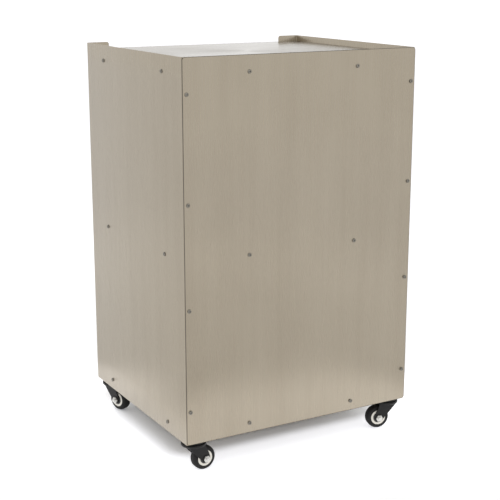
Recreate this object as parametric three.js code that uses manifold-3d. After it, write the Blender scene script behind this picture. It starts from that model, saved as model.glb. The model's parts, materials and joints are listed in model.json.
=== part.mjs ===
// Popcorn cart: a stainless steel cabinet on four swivel casters, with a shallow tray top for the popping machine.
// Millimetres, +Z up. The floor is z = 0, the door faces -Y and the screwed back panel faces +Y.
import * as THREE from 'three';
import { mergeVertices } from 'three/addons/utils/BufferGeometryUtils.js';
import Module from 'manifold-3d';

const wasm = await Module();
wasm.setup();

// ---- driving dimensions ----
const CABINET_WIDTH = 524;
const CABINET_DEPTH = 452;
const PANEL_HEIGHT = 750;
const FLOOR_CLEARANCE = 68;
const SHEET = 1.2;
const GAP = 0.3;
const BEND_RADIUS = 2;
const TRAY_LIP = 12.5;
const FLANGE_HEIGHT = 38;
const BASE_FLANGE_HEIGHT = 35;
const STILE_WIDTH = 50;
const STILE_CORNER_RADIUS = 5;
const REAR_FLANGE_WIDTH = 25;
const BACK_CORNER_RADIUS = 6;
const SHELF_TOP = 386;
const BASE_LIFT = 1;

const SCREW_HEAD_RADIUS = 4;
const SCREW_HEAD_HEIGHT = 2.4;
const SCREW_SHANK_RADIUS = 1.95;
const SCREW_LENGTH = 8;
const SCREW_HOLE_RADIUS = 2.25;
const DRILLING_LENGTH = 10;
const SIDE_SCREW_INSET = 87;
const BACK_EDGE_SCREW_INSET = 8.5;
const BACK_EDGE_SCREW_PITCH = 205;
const BACK_INNER_SCREW_X = 122;

const DOOR_GAP = 1.5;
const DOOR_RAIL_GAP = 3;
const DOOR_THICKNESS = 18;
const HINGE_HEIGHT = 60;
const HINGE_LEAF_WIDTH = 25;
const HINGE_LEAF_THICKNESS = 1.5;
const HINGE_KNUCKLE_RADIUS = 3.5;
const HINGE_PIN_RADIUS = 1.6;
const HINGE_INSET = 90;
const HANDLE_CENTRES = 128;
const HANDLE_REACH = 32;
const HANDLE_ROD_RADIUS = 5;
const HANDLE_EDGE_INSET = 40;
const HANDLE_ABOVE_MIDDLE = 100;
const HANDLE_BEND = 14;
const HANDLE_DRILLING_DEPTH = 8;
const CATCH_SIZE = [46, 12, 14];
const CATCH_X = 150;
const STRIKE_THICKNESS = 1.2;

const WHEEL_RADIUS = 25;
const WHEEL_WIDTH = 20;
const TYRE_INNER_RADIUS = 16.5;
const RIM_WIDTH = 3;
const HUB_BORE_RADIUS = 4.5;
const CASTER_INSET = 27.5;
const CASTER_TRAIL = 21;
const CROWN_RADIUS = 25.5;
const CROWN_BOTTOM = 56;
const CROWN_TOP = 62;
const FORK_SHEET = 2.5;
const FORK_GAP = 24.4;
const FORK_END_RADIUS = 9;
const STEM_RADIUS = 5;
const STEM_TOP = 84;
const STEM_FOOT_RADIUS = 8;
const STEM_FOOT_HEIGHT = 2.5;
const STEM_NUT_FLATS = 17;
const STEM_NUT_HEIGHT = 8;
const AXLE_RADIUS = 4;
const AXLE_HEAD_RADIUS = 5.5;
const AXLE_HEAD_HEIGHT = 5.5;
const AXLE_END_REACH = 7;
const AXLE_NUT_FLATS = 13;
const AXLE_NUT_HEIGHT = 5;

// Directions that the four casters trail in when the cart stands still, in degrees from +X towards +Y.
const CASTERS = [
  { name: 'front_left', side: -1, end: -1, trail: 55 },
  { name: 'front_right', side: 1, end: -1, trail: 108 },
  { name: 'rear_left', side: -1, end: 1, trail: -13 },
  { name: 'rear_right', side: 1, end: 1, trail: 184 },
];

// ---- places worked out from the dimensions ----
const HALF_WIDTH = CABINET_WIDTH / 2;
const HALF_DEPTH = CABINET_DEPTH / 2;
const PANEL_BOTTOM = FLOOR_CLEARANCE;
const PANEL_TOP = FLOOR_CLEARANCE + PANEL_HEIGHT;
const BACK_INNER_Y = HALF_DEPTH - SHEET - GAP;
const PLATE_HALF_WIDTH = HALF_WIDTH - SHEET - GAP;
const PLATE_FRONT_Y = -HALF_DEPTH + SHEET + GAP;
const TOP_PLATE_TOP = PANEL_TOP - TRAY_LIP;
const MID_SHELF_TOP = PANEL_BOTTOM + SHELF_TOP;
const BASE_BOTTOM = PANEL_BOTTOM + BASE_LIFT;
const FLANGE_SCREW_ROWS = [
  BASE_BOTTOM + FLANGE_HEIGHT / 2,
  MID_SHELF_TOP - FLANGE_HEIGHT / 2,
  TOP_PLATE_TOP - FLANGE_HEIGHT / 2,
];
const PANEL_MIDDLE = PANEL_BOTTOM + PANEL_HEIGHT / 2;
const BACK_EDGE_SCREW_ROWS = [-1.5, -0.5, 0.5, 1.5].map((n) => PANEL_MIDDLE + n * BACK_EDGE_SCREW_PITCH);
const SIDE_SCREW_Y = HALF_DEPTH - SIDE_SCREW_INSET;
const BACK_EDGE_SCREW_X = HALF_WIDTH - BACK_EDGE_SCREW_INSET;

const DOOR_HALF_WIDTH = HALF_WIDTH - STILE_WIDTH - DOOR_GAP;
const DOOR_BOTTOM = BASE_BOTTOM + BASE_FLANGE_HEIGHT + DOOR_RAIL_GAP;
const DOOR_TOP = TOP_PLATE_TOP - FLANGE_HEIGHT - DOOR_RAIL_GAP;
const DOOR_BACK_Y = -HALF_DEPTH + DOOR_THICKNESS;
const FACE_Y = -HALF_DEPTH - GAP;
const HINGE_AXIS_X = -DOOR_HALF_WIDTH - DOOR_GAP / 2;
const HINGE_AXIS_Y = FACE_Y - HINGE_KNUCKLE_RADIUS;
const HANDLE_X = DOOR_HALF_WIDTH - HANDLE_EDGE_INSET;
const HANDLE_Z = (DOOR_BOTTOM + DOOR_TOP) / 2 + HANDLE_ABOVE_MIDDLE;
const CATCH_FRONT_Y = DOOR_BACK_Y + GAP + STRIKE_THICKNESS + GAP;
const SHELF_FRONT_Y = CATCH_FRONT_Y + CATCH_SIZE[1] + GAP;
const CATCH_Z = MID_SHELF_TOP - FLANGE_HEIGHT / 2;
const CASTER_X = HALF_WIDTH - CASTER_INSET;
const CASTER_Y = HALF_DEPTH - CASTER_INSET;

// The origin is under the middle of the whole object, so the cabinet sits back by half of what the handle
// stands out in front, less half of what the screw heads stand out behind.
const FRONT_REACH = GAP + HANDLE_REACH + HANDLE_ROD_RADIUS;
const REAR_REACH = GAP + SCREW_HEAD_HEIGHT;
const CENTRE_SHIFT_Y = (FRONT_REACH - REAR_REACH) / 2;

// ---- materials ----
const material = (color, roughness, metalness) => new THREE.MeshStandardMaterial({ color, roughness, metalness });
const stainless = () => material(0xb4ab9b, 0.35, 1);
const brightSteel = () => material(0xc9c9c4, 0.25, 1);
const blackSteel = () => material(0x1c1d1e, 0.5, 0.4);
const blackRubber = () => material(0x161616, 0.8, 0);
const creamPlastic = () => material(0xd8d2c2, 0.5, 0);
const blackPlastic = () => material(0x202020, 0.6, 0);

// ---- solids ----
function toManifold(geometry) {
  const bare = geometry.clone();
  bare.deleteAttribute('normal');
  bare.deleteAttribute('uv');
  const merged = mergeVertices(bare, 1e-3);
  return new wasm.Manifold(
    new wasm.Mesh({
      numProp: 3,
      vertProperties: new Float32Array(merged.attributes.position.array),
      triVerts: new Uint32Array(merged.index.array),
    }),
  );
}

function toGeometry(solid) {
  const mesh = solid.getMesh();
  const geometry = new THREE.BufferGeometry();
  geometry.setAttribute('position', new THREE.BufferAttribute(new Float32Array(mesh.vertProperties), 3));
  geometry.setIndex(new THREE.BufferAttribute(new Uint32Array(mesh.triVerts), 1));
  geometry.computeVertexNormals();
  return geometry;
}

function boxBetween(low, high) {
  const size = high.map((value, i) => value - low[i]);
  const geometry = new THREE.BoxGeometry(...size);
  geometry.translate(...low.map((value, i) => value + size[i] / 2));
  return geometry;
}

// A cylinder from one end point along x, y or z.
function rod(axis, start, length, radius, sides) {
  const geometry = new THREE.CylinderGeometry(radius, radius, length, sides);
  if (axis === 'x') geometry.rotateZ(-Math.PI / 2);
  if (axis === 'z') geometry.rotateX(Math.PI / 2);
  const centre = new THREE.Vector3(...start);
  centre[axis] += length / 2;
  geometry.translate(centre.x, centre.y, centre.z);
  return geometry;
}

// A drilling for a screw, along an axis through thin sheet at a place.
function screwHole(axis, x, y, z) {
  const start = new THREE.Vector3(x, y, z);
  start[axis] -= DRILLING_LENGTH / 2;
  return rod(axis, start.toArray(), DRILLING_LENGTH, SCREW_HOLE_RADIUS, 10);
}

// A profile of [radius, height] points turned about +Z.
function turned(profile, sides) {
  const points = profile.map(([radius, height]) => new THREE.Vector2(radius, height));
  const geometry = new THREE.LatheGeometry(points, sides);
  geometry.rotateX(Math.PI / 2);
  return geometry;
}

function cut(geometry, ...tools) {
  const solid = tools.reduce((whole, tool) => whole.subtract(toManifold(tool)), toManifold(geometry));
  return toGeometry(solid);
}

function join(geometry, ...others) {
  const solid = others.reduce((whole, other) => whole.add(toManifold(other)), toManifold(geometry));
  return toGeometry(solid);
}

function roundedRectangle(halfWidth, halfHeight, radius, turnSteps = 3) {
  const corners = [
    [1, 1, 0],
    [-1, 1, 1],
    [-1, -1, 2],
    [1, -1, 3],
  ];
  const points = [];
  for (const [sx, sy, quarter] of corners) {
    for (let step = 0; step <= turnSteps; step += 1) {
      const angle = ((quarter + step / turnSteps) * Math.PI) / 2;
      const x = sx * (halfWidth - radius) + radius * Math.cos(angle);
      const y = sy * (halfHeight - radius) + radius * Math.sin(angle);
      points.push(new THREE.Vector2(x, y));
    }
  }
  return new THREE.Shape(points);
}

function prism(shape, depth) {
  return new THREE.ExtrudeGeometry(shape, { depth, bevelEnabled: false, curveSegments: 4 });
}

// Rounded slab between two corners, with rounded vertical edges.
function slab(low, high, radius) {
  const geometry = prism(roundedRectangle((high[0] - low[0]) / 2, (high[1] - low[1]) / 2, radius), high[2] - low[2]);
  geometry.translate((low[0] + high[0]) / 2, (low[1] + high[1]) / 2, low[2]);
  return geometry;
}

// A folded pan: a sheet with a flange on all four edges, open on one side (up or down).
function pan(low, high, opensUp) {
  const outer = slab(low, high, BEND_RADIUS);
  const innerLow = [low[0] + SHEET, low[1] + SHEET, opensUp ? low[2] + SHEET : low[2] - 1];
  const innerHigh = [high[0] - SHEET, high[1] - SHEET, opensUp ? high[2] + 1 : high[2] - SHEET];
  return cut(outer, slab(innerLow, innerHigh, BEND_RADIUS - SHEET));
}

// Notches that let the rear flange of a pan reach the back panel past the side panels' rear flanges.
function rearNotches(low, high) {
  return [-1, 1].map((side) => {
    const inner = HALF_WIDTH - REAR_FLANGE_WIDTH - GAP;
    const xs = [side * inner, side * (HALF_WIDTH + 1)].sort((a, b) => a - b);
    const frontOfFlange = BACK_INNER_Y - SHEET - GAP;
    return boxBetween([xs[0], frontOfFlange, low[2] - 1], [xs[1], high[1] + 1, high[2] + 1]);
  });
}

// Screw holes through the flanges of a pan: two on each side and two at the back.
function flangeHoles(height) {
  const holes = [];
  for (const sign of [-1, 1]) {
    for (const y of [-SIDE_SCREW_Y, SIDE_SCREW_Y]) {
      holes.push(screwHole('x', sign * PLATE_HALF_WIDTH, y, height));
    }
    holes.push(screwHole('y', sign * BACK_INNER_SCREW_X, BACK_INNER_Y, height));
  }
  return holes;
}

// ---- assembly helper ----
const cart = new THREE.Group();
cart.position.y = CENTRE_SHIFT_Y;

function add(name, geometry, look, parent = cart) {
  const mesh = new THREE.Mesh(geometry, look);
  mesh.name = name;
  parent.add(mesh);
  return mesh;
}

// ---- cabinet ----
// Seen from above, a side panel is a channel: a wide flange in front (the stile) and a narrow one behind.
function sidePanel(side) {
  const outerX = HALF_WIDTH;
  const rearY = BACK_INNER_Y;
  const stileEnd = outerX - STILE_WIDTH;
  const rearEnd = outerX - REAR_FLANGE_WIDTH;
  const inner = BEND_RADIUS - SHEET;
  const shape = new THREE.Shape();
  shape.moveTo(stileEnd, -HALF_DEPTH);
  shape.lineTo(outerX - BEND_RADIUS, -HALF_DEPTH);
  shape.absarc(outerX - BEND_RADIUS, -HALF_DEPTH + BEND_RADIUS, BEND_RADIUS, -Math.PI / 2, 0);
  shape.lineTo(outerX, rearY - BEND_RADIUS);
  shape.absarc(outerX - BEND_RADIUS, rearY - BEND_RADIUS, BEND_RADIUS, 0, Math.PI / 2);
  shape.lineTo(rearEnd, rearY);
  shape.lineTo(rearEnd, rearY - SHEET);
  shape.lineTo(outerX - BEND_RADIUS, rearY - SHEET);
  shape.absarc(outerX - BEND_RADIUS, rearY - BEND_RADIUS, inner, Math.PI / 2, 0, true);
  shape.lineTo(outerX - SHEET, -HALF_DEPTH + BEND_RADIUS);
  shape.absarc(outerX - BEND_RADIUS, -HALF_DEPTH + BEND_RADIUS, inner, 0, -Math.PI / 2, true);
  shape.lineTo(stileEnd, -HALF_DEPTH + SHEET);
  const geometry = prism(shape, PANEL_HEIGHT);
  geometry.translate(0, 0, PANEL_BOTTOM);

  const holes = [];
  for (const z of FLANGE_SCREW_ROWS) {
    for (const y of [-SIDE_SCREW_Y, SIDE_SCREW_Y]) {
      holes.push(screwHole('x', outerX, y, z));
    }
  }
  for (const z of BACK_EDGE_SCREW_ROWS) {
    holes.push(screwHole('y', BACK_EDGE_SCREW_X, rearY, z));
  }
  const cornerCut = stileCornerCut(stileEnd);
  const whole = cut(geometry, ...holes, cornerCut);
  return side > 0 ? whole : mirrored(whole);
}

// The corner that is cut from the free top corner of a stile to leave it rounded.
function stileCornerCut(stileEnd) {
  const radius = STILE_CORNER_RADIUS;
  const shape = new THREE.Shape();
  shape.moveTo(stileEnd - 1, PANEL_TOP + 1);
  shape.lineTo(stileEnd - 1, PANEL_TOP - radius);
  shape.lineTo(stileEnd, PANEL_TOP - radius);
  shape.absarc(stileEnd + radius, PANEL_TOP - radius, radius, Math.PI, Math.PI / 2, true);
  shape.lineTo(stileEnd + radius, PANEL_TOP + 1);
  const geometry = prism(shape, 6);
  geometry.rotateX(Math.PI / 2);
  geometry.translate(0, -HALF_DEPTH + 4, 0);
  return geometry;
}

// The mirror image in the X = 0 plane, with its faces turned to point out again.
function mirrored(geometry) {
  const copy = geometry.clone();
  copy.scale(-1, 1, 1);
  const index = copy.index.array;
  for (let i = 0; i < index.length; i += 3) {
    [index[i], index[i + 1]] = [index[i + 1], index[i]];
  }
  copy.computeVertexNormals();
  return copy;
}

function backPanel() {
  const geometry = prism(roundedRectangle(HALF_WIDTH, PANEL_HEIGHT / 2, BACK_CORNER_RADIUS), SHEET);
  geometry.rotateX(Math.PI / 2);
  geometry.translate(0, HALF_DEPTH, PANEL_MIDDLE);
  const holes = backScrewPlaces().map(({ x, z }) => screwHole('y', x, HALF_DEPTH, z));
  return cut(geometry, ...holes);
}

function backScrewPlaces() {
  const places = [];
  for (const side of [-1, 1]) {
    const hand = side > 0 ? 'right' : 'left';
    BACK_EDGE_SCREW_ROWS.forEach((z, row) => {
      places.push({ name: `back_screw_${hand}_edge_${row + 1}`, x: side * BACK_EDGE_SCREW_X, z });
    });
    FLANGE_SCREW_ROWS.forEach((z, row) => {
      places.push({ name: `back_screw_${hand}_inner_${row + 1}`, x: side * BACK_INNER_SCREW_X, z });
    });
  }
  return places;
}

// The pans reach the back panel; their side flanges lie against the side panels.
function topPlate() {
  const low = [-PLATE_HALF_WIDTH, PLATE_FRONT_Y, TOP_PLATE_TOP - FLANGE_HEIGHT];
  const high = [PLATE_HALF_WIDTH, BACK_INNER_Y, TOP_PLATE_TOP];
  return cut(pan(low, high, false), ...rearNotches(low, high), ...flangeHoles(FLANGE_SCREW_ROWS[2]));
}

function midShelf() {
  const low = [-PLATE_HALF_WIDTH, SHELF_FRONT_Y, MID_SHELF_TOP - FLANGE_HEIGHT];
  const high = [PLATE_HALF_WIDTH, BACK_INNER_Y, MID_SHELF_TOP];
  return cut(pan(low, high, false), ...rearNotches(low, high), ...flangeHoles(FLANGE_SCREW_ROWS[1]));
}

function bottomPlate() {
  const low = [-PLATE_HALF_WIDTH, PLATE_FRONT_Y, BASE_BOTTOM];
  const high = [PLATE_HALF_WIDTH, BACK_INNER_Y, BASE_BOTTOM + BASE_FLANGE_HEIGHT];
  const stemHoles = CASTERS.map(({ side, end }) =>
    rod('z', [side * CASTER_X, end * CASTER_Y, BASE_BOTTOM - 5], 10, STEM_RADIUS + GAP, 14),
  );
  const holes = [...flangeHoles(FLANGE_SCREW_ROWS[0]), ...stemHoles];
  return cut(pan(low, high, true), ...rearNotches(low, high), ...holes);
}

// A pan-head screw whose head rests on z = 0 and whose shank runs down.
function screw() {
  const rim = SCREW_HEAD_RADIUS;
  return turned(
    [
      [0, -SCREW_LENGTH],
      [SCREW_SHANK_RADIUS - 0.6, -SCREW_LENGTH],
      [SCREW_SHANK_RADIUS, -SCREW_LENGTH + 0.8],
      [SCREW_SHANK_RADIUS, 0],
      [rim, 0],
      [rim, 0.8],
      [rim * 0.68, SCREW_HEAD_HEIGHT],
      [0, SCREW_HEAD_HEIGHT],
    ],
    10,
  );
}

function addBackScrews() {
  for (const { name, x, z } of backScrewPlaces()) {
    const mesh = add(name, screw(), brightSteel());
    mesh.rotation.x = -Math.PI / 2;
    mesh.position.set(x, HALF_DEPTH + GAP, z);
  }
}

// ---- door ----
function doorSkin() {
  const low = [-DOOR_HALF_WIDTH, -HALF_DEPTH, DOOR_BOTTOM];
  const high = [DOOR_HALF_WIDTH, DOOR_BACK_Y, DOOR_TOP];
  const hollowLow = [low[0] + SHEET, low[1] + SHEET, low[2] + SHEET];
  const hollowHigh = [high[0] - SHEET, high[1] + 1, high[2] - SHEET];
  const holes = handleScrewHeights().map((z) => screwHole('y', HANDLE_X, -HALF_DEPTH, z));
  return cut(boxBetween(low, high), boxBetween(hollowLow, hollowHigh), ...holes);
}

function doorLiner() {
  const inset = SHEET + GAP;
  return boxBetween(
    [-DOOR_HALF_WIDTH + inset, DOOR_BACK_Y - SHEET, DOOR_BOTTOM + inset],
    [DOOR_HALF_WIDTH - inset, DOOR_BACK_Y, DOOR_TOP - inset],
  );
}

function handleScrewHeights() {
  return [HANDLE_Z - HANDLE_CENTRES / 2, HANDLE_Z + HANDLE_CENTRES / 2];
}

// A round rod bent into a bow, with a drilled flat foot at each end.
function doorHandle() {
  const bend = HANDLE_BEND;
  const half = HANDLE_CENTRES / 2;
  const reach = HANDLE_REACH;
  const point = (y, z) => new THREE.Vector3(HANDLE_X, FACE_Y - y, HANDLE_Z + z);
  const path = new THREE.CurvePath();
  path.add(new THREE.LineCurve3(point(0, -half), point(reach - bend, -half)));
  path.add(new THREE.QuadraticBezierCurve3(point(reach - bend, -half), point(reach, -half), point(reach, -half + bend)));
  path.add(new THREE.LineCurve3(point(reach, -half + bend), point(reach, half - bend)));
  path.add(new THREE.QuadraticBezierCurve3(point(reach, half - bend), point(reach, half), point(reach - bend, half)));
  path.add(new THREE.LineCurve3(point(reach - bend, half), point(0, half)));
  const section = new THREE.Shape(new THREE.Path().absarc(0, 0, HANDLE_ROD_RADIUS, 0, 2 * Math.PI).getPoints(5));
  const geometry = new THREE.ExtrudeGeometry(section, { steps: 24, extrudePath: path });
  const depth = HANDLE_DRILLING_DEPTH;
  const drillings = handleScrewHeights().map((z) =>
    rod('y', [HANDLE_X, FACE_Y - depth, z], depth + 1, SCREW_HOLE_RADIUS, 10),
  );
  return cut(geometry, ...drillings);
}

// One leaf of a butt hinge: a flat plate on the face of the cabinet or door, and its share of the knuckles.
// The cabinet's leaf holds the end knuckles and the door's leaf the middle one.
function hingeLeaf(middle, onDoor) {
  const direction = onDoor ? 1 : -1;
  const low = middle - HINGE_HEIGHT / 2;
  const third = HINGE_HEIGHT / 3;
  const shares = [0, 1, 2].map((n) => [low + n * third + GAP / 2, low + (n + 1) * third - GAP / 2]);
  const own = shares.filter((_, n) => (n === 1) === onDoor);
  const others = shares.filter((_, n) => (n === 1) !== onDoor);
  const clear = HINGE_KNUCKLE_RADIUS + 2 * GAP;
  const xs = [HINGE_AXIS_X, HINGE_AXIS_X + direction * HINGE_LEAF_WIDTH].sort((a, b) => a - b);
  const plate = boxBetween([xs[0], FACE_Y - HINGE_LEAF_THICKNESS, low], [xs[1], FACE_Y, low + HINGE_HEIGHT]);
  const knuckles = own.map(([from, to]) =>
    rod('z', [HINGE_AXIS_X, HINGE_AXIS_Y, from], to - from, HINGE_KNUCKLE_RADIUS, 14),
  );
  const clearances = others.map(([from, to]) =>
    boxBetween(
      [HINGE_AXIS_X - clear, HINGE_AXIS_Y - clear, from - GAP],
      [HINGE_AXIS_X + clear, FACE_Y + 1, to + GAP],
    ),
  );
  const bore = rod('z', [HINGE_AXIS_X, HINGE_AXIS_Y, low - 1], HINGE_HEIGHT + 2, HINGE_PIN_RADIUS + GAP, 12);
  return cut(join(cut(plate, ...clearances), ...knuckles), bore);
}

function hingePin(middle) {
  const half = HINGE_HEIGHT / 2;
  const capRadius = HINGE_PIN_RADIUS + 1;
  const geometry = turned(
    [
      [0, -half - 1.5],
      [capRadius, -half - 1.5],
      [capRadius, -half - GAP],
      [HINGE_PIN_RADIUS, -half - GAP],
      [HINGE_PIN_RADIUS, half + GAP],
      [capRadius, half + GAP],
      [capRadius, half + 1.5],
      [0, half + 1.5],
    ],
    12,
  );
  geometry.translate(HINGE_AXIS_X, HINGE_AXIS_Y, middle);
  return geometry;
}

function addDoor() {
  add('door_skin', doorSkin(), stainless());
  add('door_liner', doorLiner(), stainless());
  add('door_handle', doorHandle(), brightSteel());
  const hinges = { upper: DOOR_TOP - HINGE_INSET, lower: DOOR_BOTTOM + HINGE_INSET };
  for (const [place, middle] of Object.entries(hinges)) {
    add(`hinge_${place}_cabinet_leaf`, hingeLeaf(middle, false), brightSteel());
    add(`hinge_${place}_door_leaf`, hingeLeaf(middle, true), brightSteel());
    add(`hinge_${place}_pin`, hingePin(middle), brightSteel());
  }
  const [width, depth, height] = CATCH_SIZE;
  const catchLow = [CATCH_X - width / 2, CATCH_FRONT_Y, CATCH_Z - height / 2];
  const catchHigh = [CATCH_X + width / 2, CATCH_FRONT_Y + depth, CATCH_Z + height / 2];
  add('magnetic_catch', boxBetween(catchLow, catchHigh), blackPlastic());
  const strikeBack = DOOR_BACK_Y + GAP;
  const strikeLow = [catchLow[0] + 2, strikeBack, catchLow[2] - 1];
  const strikeHigh = [catchHigh[0] - 2, strikeBack + STRIKE_THICKNESS, catchHigh[2] + 1];
  add('catch_strike_plate', boxBetween(strikeLow, strikeHigh), brightSteel());
}

// ---- casters, each in its own group: the swivel axis is the group's Z and the wheel trails along its +X ----
// The stem stays with the cabinet: a swaged foot under the fork, a bearing collar over it and a thread above.
function casterStem() {
  const collarBottom = CROWN_TOP + GAP;
  const collarTop = BASE_BOTTOM - GAP;
  const footTop = CROWN_BOTTOM - GAP;
  const footBottom = footTop - STEM_FOOT_HEIGHT;
  return turned(
    [
      [0, footBottom],
      [STEM_FOOT_RADIUS - 1, footBottom],
      [STEM_FOOT_RADIUS, footBottom + 1],
      [STEM_FOOT_RADIUS, footTop],
      [STEM_RADIUS, footTop],
      [STEM_RADIUS, collarBottom],
      [CROWN_RADIUS - 3, collarBottom],
      [CROWN_RADIUS - 1.5, collarTop],
      [STEM_RADIUS, collarTop],
      [STEM_RADIUS, STEM_TOP - 1],
      [STEM_RADIUS - 1, STEM_TOP],
      [0, STEM_TOP],
    ],
    16,
  );
}

function hexNut(acrossFlats, height, holeRadius) {
  const outer = new THREE.CylinderGeometry(acrossFlats / Math.sqrt(3), acrossFlats / Math.sqrt(3), height, 6);
  outer.rotateX(Math.PI / 2);
  return cut(outer, rod('z', [0, 0, -height], 2 * height, holeRadius, 14));
}

// A round crown with two legs that narrow down to the axle.
function casterFork() {
  const crown = turned(
    [
      [0, CROWN_BOTTOM],
      [CROWN_RADIUS - 1.5, CROWN_BOTTOM],
      [CROWN_RADIUS, CROWN_BOTTOM + 1.5],
      [CROWN_RADIUS, CROWN_TOP - 1],
      [CROWN_RADIUS - 1, CROWN_TOP],
      [0, CROWN_TOP],
    ],
    28,
  );
  const legs = [-1, 1].map((side) => {
    const leg = prism(forkLegOutline(), FORK_SHEET);
    leg.rotateX(Math.PI / 2);
    const outerFace = FORK_GAP / 2 + FORK_SHEET;
    leg.translate(0, side > 0 ? outerFace : -FORK_GAP / 2, 0);
    return leg;
  });
  const span = FORK_GAP + 4 * FORK_SHEET;
  const axleHole = rod('y', [CASTER_TRAIL, -span / 2, WHEEL_RADIUS], span, AXLE_RADIUS + GAP, 14);
  const stemHole = rod('z', [0, 0, CROWN_BOTTOM - 5], 20, STEM_RADIUS + GAP, 14);
  return cut(join(crown, ...legs), axleHole, stemHole);
}

// Side view of a leg, x along the trail and y up: slanted in front, steeper behind, round at the axle.
function forkLegOutline() {
  const top = CROWN_BOTTOM + 1;
  const halfTop = Math.sqrt(CROWN_RADIUS ** 2 - (FORK_GAP / 2 + FORK_SHEET) ** 2) - 1;
  const radius = FORK_END_RADIUS;
  const slant = Math.atan2(top - WHEEL_RADIUS, CASTER_TRAIL + halfTop);
  const shape = new THREE.Shape();
  shape.moveTo(-halfTop, top);
  shape.absarc(CASTER_TRAIL, WHEEL_RADIUS, radius, -Math.PI / 2 - slant, 0);
  shape.lineTo(CASTER_TRAIL + radius - 2, WHEEL_RADIUS + 12);
  shape.lineTo(halfTop, top);
  return shape;
}

// The wheel's solids are turned about the axle, which lies along the group's Y.
function alongAxle(geometry) {
  geometry.rotateX(-Math.PI / 2);
  geometry.translate(CASTER_TRAIL, 0, WHEEL_RADIUS);
  return geometry;
}

function wheelTyre() {
  const half = WHEEL_WIDTH / 2;
  const shoulder = 3;
  return alongAxle(
    turned(
      [
        [TYRE_INNER_RADIUS, -half],
        [WHEEL_RADIUS - shoulder, -half],
        [WHEEL_RADIUS, -half + shoulder],
        [WHEEL_RADIUS, half - shoulder],
        [WHEEL_RADIUS - shoulder, half],
        [TYRE_INNER_RADIUS, half],
        [TYRE_INNER_RADIUS, -half],
      ],
      32,
    ),
  );
}

// A pale core with a rim at each face, a sunk web and a bored hub.
function wheelCore() {
  const half = WHEEL_WIDTH / 2;
  const rimOuter = TYRE_INNER_RADIUS - GAP;
  const rimInner = TYRE_INNER_RADIUS - RIM_WIDTH;
  const webHalf = half - 3;
  const hubOuter = HUB_BORE_RADIUS + 3;
  return alongAxle(
    turned(
      [
        [HUB_BORE_RADIUS, -half - 1],
        [hubOuter, -half - 1],
        [hubOuter, -webHalf],
        [rimInner, -webHalf],
        [rimInner, -half],
        [rimOuter, -half],
        [rimOuter, half],
        [rimInner, half],
        [rimInner, webHalf],
        [hubOuter, webHalf],
        [hubOuter, half + 1],
        [HUB_BORE_RADIUS, half + 1],
        [HUB_BORE_RADIUS, -half - 1],
      ],
      20,
    ),
  );
}

// The bolt's round head is on the outer side of the fork, at the group's +Y when faceSide is 1.
function axleBolt(faceSide) {
  const face = FORK_GAP / 2 + FORK_SHEET + GAP;
  const profile = [
    [0, -face - AXLE_END_REACH],
    [AXLE_RADIUS, -face - AXLE_END_REACH],
    [AXLE_RADIUS, face],
    [AXLE_HEAD_RADIUS, face],
    [AXLE_HEAD_RADIUS, face + AXLE_HEAD_HEIGHT - 1.5],
    [AXLE_HEAD_RADIUS - 1.5, face + AXLE_HEAD_HEIGHT],
    [0, face + AXLE_HEAD_HEIGHT],
  ];
  const bolt = turned(profile, 16);
  if (faceSide < 0) bolt.rotateX(Math.PI);
  return alongAxle(bolt);
}

function axleNut(faceSide) {
  const nut = hexNut(AXLE_NUT_FLATS, AXLE_NUT_HEIGHT, AXLE_RADIUS + GAP);
  nut.translate(0, 0, -faceSide * (FORK_GAP / 2 + FORK_SHEET + GAP + AXLE_NUT_HEIGHT / 2));
  return alongAxle(nut);
}

function addCaster({ name, side, end, trail }) {
  const group = new THREE.Group();
  group.position.set(side * CASTER_X, end * CASTER_Y, 0);
  group.rotation.z = THREE.MathUtils.degToRad(trail);
  cart.add(group);
  const label = `caster_${name}`;
  const outwardSide = Math.sign(Math.cos(group.rotation.z) * end - Math.sin(group.rotation.z) * side);
  add(`${label}_stem`, casterStem(), brightSteel(), group);
  const stemNut = hexNut(STEM_NUT_FLATS, STEM_NUT_HEIGHT, STEM_RADIUS + GAP);
  const nut = add(`${label}_stem_nut`, stemNut, brightSteel(), group);
  nut.position.z = BASE_BOTTOM + SHEET + GAP + STEM_NUT_HEIGHT / 2;
  add(`${label}_fork`, casterFork(), blackSteel(), group);
  add(`${label}_axle_bolt`, axleBolt(outwardSide), brightSteel(), group);
  add(`${label}_axle_nut`, axleNut(outwardSide), brightSteel(), group);
  add(`${label}_wheel_core`, wheelCore(), creamPlastic(), group);
  add(`${label}_tyre`, wheelTyre(), blackRubber(), group);
}

add('side_panel_right', sidePanel(1), stainless());
add('side_panel_left', sidePanel(-1), stainless());
add('back_panel', backPanel(), stainless());
add('top_plate', topPlate(), stainless());
add('mid_shelf', midShelf(), stainless());
add('bottom_plate', bottomPlate(), stainless());
addBackScrews();
addDoor();
CASTERS.forEach(addCaster);

export default cart;
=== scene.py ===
"""Looks of the popcorn cart: folded stainless sheet, screws, hinges, handle and casters on the frame."""

import itertools
import json
import math

import bmesh
import bpy
from mathutils import Matrix, Vector


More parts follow.
